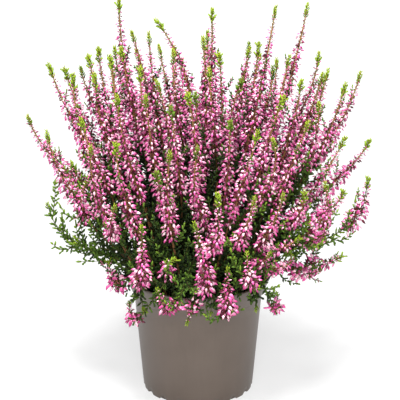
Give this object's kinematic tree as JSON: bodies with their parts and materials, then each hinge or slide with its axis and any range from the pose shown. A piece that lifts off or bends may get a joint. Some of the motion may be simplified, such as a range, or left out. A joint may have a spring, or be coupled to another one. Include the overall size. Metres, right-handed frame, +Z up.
{
  "type": "potted heather",
  "caption": "Bushy heather with upright spikes of small closed pink buds and green tips, growing in a round tapered plastic nursery pot with a flared collar.",
  "frame": {"origin": "centre of the pot's underside, on the surface the pot stands on", "axes": "+Z up along the pot's axis; -Y towards the plant's front; +X to the right seen from the front"},
  "size_m": [0.2964, 0.2512, 0.3519],
  "materials": {
    "pot_plastic": "satin moulded taupe-grey plastic",
    "peat": "moist dark crumbly peat",
    "heather_flowers": "matt pink bud flowers over green scale leaves and brown wood",
    "heather_leaves": "matt green scale leaves over brown wood"
  },
  "bodies": {
    "root": {"pot": "pot_plastic", "soil": "peat", "flowering_stem_01": "heather_flowers", "flowering_stem_02": "heather_flowers", "flowering_stem_03": "heather_flowers", "flowering_stem_04": "heather_flowers", "flowering_stem_05": "heather_flowers", "flowering_stem_06": "heather_flowers", "flowering_stem_07": "heather_flowers", "flowering_stem_08": "heather_flowers", "flowering_stem_09": "heather_flowers", "flowering_stem_10": "heather_flowers", "flowering_stem_11": "heather_flowers", "flowering_stem_12": "heather_flowers", "flowering_stem_13": "heather_flowers", "flowering_stem_14": "heather_flowers", "flowering_stem_15": "heather_flowers", "flowering_stem_16": "heather_flowers", "flowering_stem_17": "heather_flowers", "flowering_stem_18": "heather_flowers", "flowering_stem_19": "heather_flowers", "flowering_stem_20": "heather_flowers", "flowering_stem_21": "heather_flowers", "flowering_stem_22": "heather_flowers", "flowering_stem_23": "heather_flowers", "flowering_stem_24": "heather_flowers", "flowering_stem_25": "heather_flowers", "flowering_stem_26": "heather_flowers", "flowering_stem_27": "heather_flowers", "flowering_stem_28": "heather_flowers", "flowering_stem_29": "heather_flowers", "flowering_stem_30": "heather_flowers", "flowering_stem_31": "heather_flowers", "flowering_stem_32": "heather_flowers", "flowering_stem_33": "heather_flowers", "flowering_stem_34": "heather_flowers", "flowering_stem_35": "heather_flowers", "flowering_stem_36": "heather_flowers", "flowering_stem_37": "heather_flowers", "flowering_stem_38": "heather_flowers", "flowering_stem_39": "heather_flowers", "flowering_stem_40": "heather_flowers", "flowering_stem_41": "heather_flowers", "leafy_shoot_01": "heather_leaves", "leafy_shoot_02": "heather_leaves", "leafy_shoot_03": "heather_leaves", "leafy_shoot_04": "heather_leaves", "leafy_shoot_05": "heather_leaves", "leafy_shoot_06": "heather_leaves", "trailing_sprig_01": "heather_flowers", "trailing_sprig_02": "heather_flowers", "trailing_sprig_03": "heather_flowers", "trailing_sprig_04": "heather_flowers", "trailing_sprig_05": "heather_flowers", "trailing_sprig_06": "heather_flowers", "trailing_sprig_07": "heather_flowers", "trailing_sprig_08": "heather_flowers", "trailing_sprig_09": "heather_flowers", "trailing_sprig_10": "heather_flowers", "trailing_sprig_11": "heather_flowers"}
  },
  "joints": []
}
